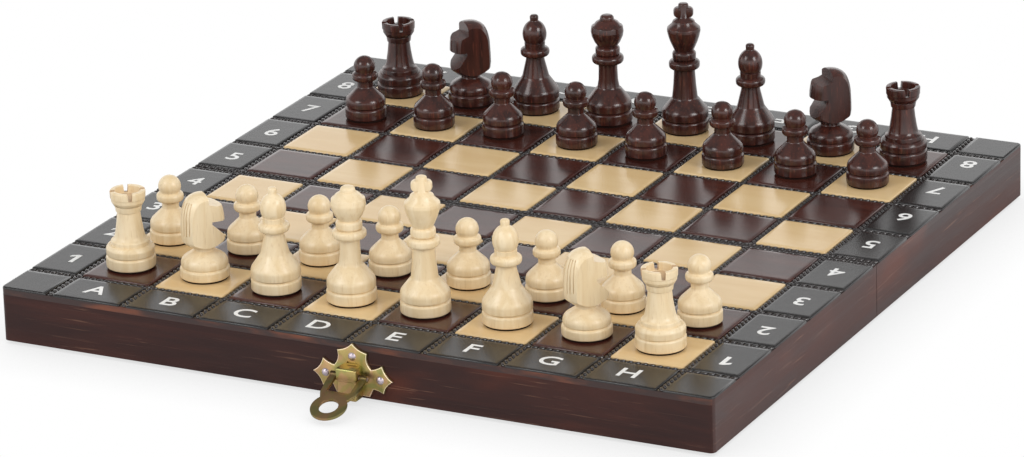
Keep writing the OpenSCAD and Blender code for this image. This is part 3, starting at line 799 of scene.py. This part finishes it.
def lobed_plate():
    """The plate lies in front of the wall; its half outline is mirrored about its middle."""
    points = [(x * PLATE_W, z * PLATE_H) for x, z in LOBES]
    half = []
    for p, q, depth in zip(points, points[1:], DIPS):
        half += dip(p, q, depth)
    half += points[-2:]
    outline = half + [(-x, z) for x, z in reversed(half[1:])]
    bm = slab([(LATCH_X + x, z) for x, z in outline], PLATE_T)
    bmesh.ops.translate(bm, verts=bm.verts, vec=(0, -(EDGE + PLATE_T / 2) * MM, 0))
    front = (PLATE_FRONT + 0.01) * MM
    soften(bm, [e for e in bm.edges if max(v.co.y for v in e.verts) < front], RIM_R)
    return bm


def rim_highlighted(bm):
    """The rounded rim takes the second material, a pale brass that is a painted highlight."""
    bm.normal_update()
    for face in bm.faces:
        face.material_index = int(0.05 < abs(face.normal.y) < 0.98)
    return bm


def at_latch(half, far, near, low, high):
    """A box across the middle of the latch, from one distance off the wall to another."""
    bm = bmesh.new()
    block(bm, (LATCH_X - half, -EDGE - far, low), (LATCH_X + half, -EDGE - near, high))
    return bm


BOX_R = 0.6
BOX_BACK = PLATE_T / 2


def latch_box():
    """The box is open below, creased across the front, and starts half-way into the plate."""
    reach = (-EDGE - BOX_BACK - 1) * MM
    head = at_latch(4, 6.3, BOX_BACK, 7.3, 12.2)
    soften(head, [e for e in head.edges if min(v.co.y for v in e.verts) < reach], BOX_R, 3)
    lower = at_latch(3.65, 5.95, BOX_BACK, 0.6, 11)
    corners = [e for e in lower.edges if max(v.co.y for v in e.verts) < reach and upright(e)]
    soften(lower, corners, BOX_R, 3)
    return boolean(boolean(head, lower, "UNION"), at_latch(2.65, 4.95, PLATE_T, -0.4, 11.2))


plate = rim_highlighted(boolean(lobed_plate(), at_latch(2, 2, 0.3, 12.5, 13.2)))
piece("latch_pressed_plate", join(plate, latch_box()), [brass, rim_highlight_brass], "base",
      "latch_plate", slot="brass", sharp=30)

stud = turned(rounded([(0, 0), (1.8, 0), (1.8, 2.5), (2.7, 3.3, 0.2), (2.7, 4.6, 0.6),
                       (0, 5.2)]), FEW_STEPS)
stud.transform(Matrix.Translation((LATCH_X * MM, (PLATE_FRONT + 0.1) * MM, STUD_Z * MM))
               @ Matrix.Rotation(math.radians(90), 4, "X"))
catch = join(rim_highlighted(lobed_plate()), stud)
bmesh.ops.scale(catch, verts=catch.verts, vec=(1, -1, 1))
bmesh.ops.reverse_faces(catch, faces=catch.faces)
piece("catch_pressed_plate", catch, [brass, rim_highlight_brass], "lid", "catch_plate", slot="brass",
      sharp=30)

# %% Hasp
PIN_OUT, PIN_Z = 3.5, 8.6
BARREL_R = 1.6
hasp = bmesh.new()
hasp.from_mesh(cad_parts["latch_hasp"].data)
bmesh.ops.remove_doubles(hasp, verts=hasp.verts, dist=CLOSE)
bmesh.ops.dissolve_limit(hasp, angle_limit=math.radians(1), verts=hasp.verts, edges=hasp.edges)
pivot = Vector((0, -EDGE - PIN_OUT, PIN_Z)) * MM


def off_pin(v):
    return math.hypot(v.co.y - pivot.y, v.co.z - pivot.z)


soften(hasp, [e for e in sharp_edges(hasp, 40)
              if min(off_pin(v) for v in e.verts) > BARREL_R * MM], 0.25)
# Faces round the pin take the darker barrel brass: painted shade
for face in hasp.faces:
    face.material_index = int(max(off_pin(v) for v in face.verts) < BARREL_R * MM)
piece("latch_pressed_hasp", hasp, [hasp_shade_brass, barrel_shade_brass], "hasp", "latch_hasp", slot="brass",
      sharp=30)

# %% [markdown]
# ## Turned men
#
# Each man is turned from one stick and stands on a felt pad. The profiles are in mm from the
# foot up. Pale men are boxwood under a satin varnish, with fine grain up the stick. Dark men
# are the same wood under a glossy red-brown stain.


# %% Wood of the men
def turned_wood(name, first, second, line, rough, strength):
    """Grain of two colours up the stick, with short flecks of a third."""
    finish = Finish(name, roughness=rough, specular_ior_level=0.5)
    grain = finish.noise(finish.where((260, 260, 26)), rough=0.55, distort=0.8)
    flecks = finish.noise(finish.where((1500, 1500, 160)), detail=2)
    base = finish.mix(grain.step(0.3, 0.7), first, second)
    finish.set(base_color=finish.mix(flecks.step(0.56, 0.74) * strength, base, line))
    finish.bump(flecks, 0.06, 0.0002)
    return finish.material


boxwood = turned_wood("boxwood", rgb(237, 217, 181), rgb(226, 201, 158), rgb(192, 158, 112),
                      0.34, 0.26)
# A darker boxwood: painted shade in the rook's crown
boxwood_crown_shade = turned_wood("boxwood_painted_crown_shade", rgb(214, 186, 150), rgb(196, 166, 130),
                          rgb(170, 136, 100), 0.5, 0.3)
dark_wood = turned_wood("stained_men", rgb(72, 37, 30), rgb(47, 26, 23), rgb(120, 62, 46),
                        0.22, 0.4)

# %% Profiles
PAD = 0.6
PAD_INSET = 0.6
FOOT_R, PAWN_FOOT_R = 9, 8
DISC = 4.6


def foot(r, disc, bell_z, bell_r, waist):
    """A disc of radius r with a bell above it, up to the waist."""
    return [(0, PAD), (r, PAD, 0.5), (r, disc, 1.1), (r - 0.8, disc + 0.45),
            (bell_r, disc + 0.9, 0.4), (bell_r, bell_z, 3), waist]


def pawn_profile():
    body = foot(PAWN_FOOT_R, DISC, 8.2, 7.75, (3.1, 12.7, 0.8))
    body += [(3.1, 15.25), (4.95, 15.45, 1.2), (4.95, 18.05, 1.1), (3.7, 18.65)]
    return rounded(body) + oval(20.85, 4.15, 4.15, -28, 90)


def bishop_profile():
    body = foot(FOOT_R, DISC, 8.6, 8.95, (5.2, 13.9, 3))
    body += [(3.6, 20.6), (3.5, 22.1), (5.6, 22.2, 1.3), (5.6, 25, 1.2), (3.9, 25.5), (4, 27.4),
             (3.75, 27.6)]
    knob = [(1.6, 36.2), (1.6, 36.4), (1.75, 38.5, 0.9), (0, 38.5)]
    return rounded(body) + oval(30.8, 4.65, 5.6, -33, 67) + rounded(knob)


def queen_profile():
    body = foot(FOOT_R, DISC, 8.6, 8.75, (5.1, 13.3))
    body += [(4.45, 13.7), (4.2, 14.4), (3.75, 17), (3.6, 21.7), (3.7, 23.7), (6.1, 23.8, 1.3),
             (6.1, 26.6, 1.2), (4.3, 27.1), (4.7, 27.3, 1.2), (4.7, 30.1, 1.2), (3.75, 30.5),
             (5, 32.3), (6, 34.6), (6.3, 36.4, 1), (6, 38.4, 0.3), (5.2, 38.8), (4.4, 39.9),
             (3, 40.8, 0.3), (2.7, 40.9), (2.6, 42.8, 1.2), (0, 42.8)]
    return rounded(body)


def king_profile():
    body = foot(FOOT_R, DISC, 8.4, 8.9, (5.5, 12.6))
    body += [(5, 12.9), (4.85, 13.6), (4.35, 18.4), (4.05, 23.3), (4.1, 24.8), (5.9, 24.9, 1.1),
             (5.9, 27.7, 1), (4.1, 28.4), (4.5, 28.6, 1.3), (4.5, 31.6, 1.3), (3.6, 31.9),
             (4.55, 34), (5.35, 35.9), (5.95, 37.8), (6.4, 39.8, 0.5), (6.3, 41, 0.5),
             (4.4, 42.8), (4.15, 43.7, 0.4), (2.6, 44.8), (2.15, 45.3), (1.9, 50.6, 0.6),
             (0, 50.6)]
    return rounded(body)


def rook_profile():
    return rounded([(0, PAD), (FOOT_R, PAD, 0.5), (FOOT_R, DISC, 1.1), (8.4, 5), (8.8, 5.5, 0.3),
                    (8.85, 7.7, 1.4), (8, 8.9, 0.4), (7, 9), (6.9, 10.5, 0.4), (5.9, 11),
                    (5.45, 12.4), (5.1, 14), (4.56, 17.4), (4.15, 21.3), (4.6, 21.5, 0.15),
                    (4.9, 23.5, 0.3), (4.75, 23.7), (5.2, 23.8), (6.05, 25.2, 0.4),
                    (6.15, 26.4, 0.2), (6.35, 26.6, 0.15), (6.45, 29.3, 0.35), (4.6, 29.3, 0.2),
                    (4.5, 26.5, 0.3), (0, 26.5)])


def head_profile(top):
    """The round blank that a knight's head is sawn from, up to its top."""
    return [(0, 10.9), (2.9, 11.3), (5.5, 12.4), (7.7, 14.2, 0.8), (8, 16.4), (7.95, 20),
            (7.75, top - 8.5), (7.5, top - 6.7), (7.1, top - 5), (6.5, top - 3.5),
            (5.9, top - 2.4), (4.9, top - 1.4), (3.5, top - 0.6), (1.8, top - 0.1), (0, top)]


# %% Make the kinds of men
# The material numbers of a man after its wood, which is 0
FELT, CROWN_SHADE = 1, 2
# Degrees: the cuts across a rook's crown, the turn of a king's cross, a knight's mane grooves
CROWN_CUTS = (38, 128)
CROSS_TURN = 27
MANE = (10, 21, 32)
KERF = 0.45


def felt_pad(r):
    return turned([(0, 0), (r - PAD_INSET, 0), (r - PAD_INSET, PAD), (0, PAD)], 40)


def swung(bm, degrees):
    """Turns a bmesh about the Z axis."""
    turn = Matrix.Rotation(math.radians(degrees), 3, "Z")
    bmesh.ops.rotate(bm, verts=bm.verts, cent=(0, 0, 0), matrix=turn)
    return bm


def rook():
    """The floor of the crown's well and the sides of its cuts take a darker wood, as painted shade.
    """
    bm = turned(rook_profile())
    for turn in CROWN_CUTS:
        saw = slab([(-0.65, 26.7), (0.65, 26.7), (1, 30.3), (-1, 30.3)], 18)
        bm = boolean(bm, swung(saw, turn))
    bm.normal_update()
    for face in bm.faces:
        middle = face.calc_center_median() / MM
        out = Vector((middle.x, middle.y, 0)).normalized()
        cut = math.hypot(middle.x, middle.y) < 4.3 or abs(face.normal.dot(out)) < 0.3
        if 26.3 < middle.z < 29.2 and cut:
            face.material_index = CROWN_SHADE
    return bm


def king():
    """The arms of the cross are a disc, sawn flat on both sides."""
    bm = turned(king_profile())
    arms = turned(rounded([(0, 45.3), (3.8, 45.3, 1.2), (3.8, 49, 1.2), (0, 49)]), FEW_STEPS)
    saw = bmesh.new()
    block(saw, (-6, -1.8, 44), (6, 1.8, 50))
    arms = boolean(arms, saw, "INTERSECT")
    soften(arms, sharp_edges(arms, 50), 0.3)
    return join(bm, swung(arms, CROSS_TURN))


def knight(top, disc, brow, mouth, chest):
    """A turned blank with flat sides and two cuts straight across; thin grooves make the mane."""
    body = foot(FOOT_R, disc, disc + 3.4, 8.5, (3.7, 10.6, 0.5)) + [(3.6, 12.3), (0, 12.3)]
    bm = turned(rounded(body))
    head = turned(rounded(head_profile(top)))
    sides = bmesh.new()
    block(sides, (-16, -5.2, 0), (16, 5.2, 40))
    head = boolean(head, sides, "INTERSECT")
    nose = [(brow, 40), (brow, 28.6), (brow + 1.6, 28), (5.6, 27.4), (7.3, 26.6), (16, 22),
            (16, 40)]
    jaw = [(mouth, 21.9), (8, 21.9), (16, 22), (16, 2 * chest - 20.8), (8, chest), (mouth, 20.8)]
    for outline in (nose, jaw):
        head = boolean(head, slab(outline, 32))
    skin = [(7.5, top - 8.5), (7.25, top - 6.7), (6.8, top - 5), (6.2, top - 3.5),
            (5.6, top - 2.6)]
    for number, angle in enumerate(MANE):
        for side in (-1, 1):
            end = 17.2 + 0.4 * side * (number - 1)
            kerf = slab([(7.6, end), (7.5, end + 2)] + skin + [(9, top - 1.8), (9, end)], KERF)
            head = boolean(head, swung(kerf, 180 + side * angle))
    bmesh.ops.remove_doubles(head, verts=head.verts, dist=CLOSE)
    return join(bm, head)


MAKERS = {
    "pawn": lambda: turned(pawn_profile()),
    "rook": rook,
    "bishop": lambda: turned(bishop_profile()),
    "queen": lambda: turned(queen_profile()),
    "king": king,
}
# The knights are cut by hand. Each has its own turn in degrees, and in mm its own top, disc,
# brow, mouth and chest
KNIGHTS = {
    "white_knight_b": (51, 31.9, 4, 0.8, 1.7, 14.7),
    "white_knight_g": (51, 31.9, 4, 0.8, 1.9, 14.7),
    "black_knight_b": (-132, 33.3, 4.6, 2.3, 3.1, 14.2),
    "black_knight_g": (-132, 32.5, 4.6, 1, 3.1, 13.6),
}

# %% Stand the men on their squares
# How far each man of ranks 1, 2, 7 and 8 stands off the middle of its square, as in the source
OFF_1 = [(-1.6, 0.7), (-1.6, 1.6), (-1.6, 0), (-1.5, 0.5), (-2, 0.3), (-0.5, 1.7), (0.2, 1.8),
         (-1.1, 0.8)]
OFF_2 = [(-1.6, 0.3), (-0.4, 1.9), (-0.7, 1.9), (-2.1, 1.5), (-0.5, 0.7), (1.1, 0.1), (0.7, 0),
         (1.2, -1.9)]
OFF_7 = [(0, -1.5), (-1.1, -0.3), (-2, 0.8), (-0.6, 0.5), (-1.1, -0.4), (0.5, 0.2), (-0.4, 1.6),
         (-1.1, 1.4)]
OFF_8 = [(-1.4, 0), (-0.2, -0.3), (-2.9, 1.4), (-0.9, -0.4), (0.5, 1.5), (-1.1, -0.4), (1.4, 0.2),
         (1.2, 0)]
BACK_ROW = ["rook", "knight", "bishop", "queen", "king", "bishop", "knight", "rook"]
FOOT_Z = SQUARE_TOP + 0.05


def node_name(side, kind, file):
    return f"{side}_{kind}" if kind in ("queen", "king") else f"{side}_{kind}_{FILES[file].lower()}"


KINDS = {}


def man(kind, white, node):
    """The mesh of a man at the origin. Each kind but the knights is built once and copied."""
    made = node if kind == "knight" else (kind, white)
    if made not in KINDS:
        if kind == "knight":
            turn, *cuts = KNIGHTS[node]
            bm = swung(knight(*cuts), turn)
        else:
            bm = MAKERS[kind]()
        join(bm, felt_pad(PAWN_FOOT_R if kind == "pawn" else FOOT_R), material=FELT)
        woods = (boxwood, boxwood_crown_shade) if white else (dark_wood, dark_wood)
        KINDS[made] = shaded(kind, bm, [woods[0], foot_felt, woods[1]],
                             sharp=28 if kind == "knight" else 50)
    return KINDS[made].copy()


def stand(side, kind, file, rank, off):
    """Stands a man on its square; its body and its CAD node have the same name."""
    white = side == "white"
    node = node_name(side, kind, file)
    mesh = man(kind, white, node)
    spot = Vector((centres[file] + off[0], centres[rank] + off[1], FOOT_Z)) * MM
    mesh.transform(Matrix.Translation(spot))
    place(f"{node}_turned", mesh, node, node, slot="boxwood" if white else "mahogany_stain")


for file, kind in enumerate(BACK_ROW):
    stand("white", kind, file, 0, OFF_1[file])
    stand("white", "pawn", file, 1, OFF_2[file])
    stand("black", "pawn", file, 6, OFF_7[file])
    stand("black", kind, file, 7, OFF_8[file])
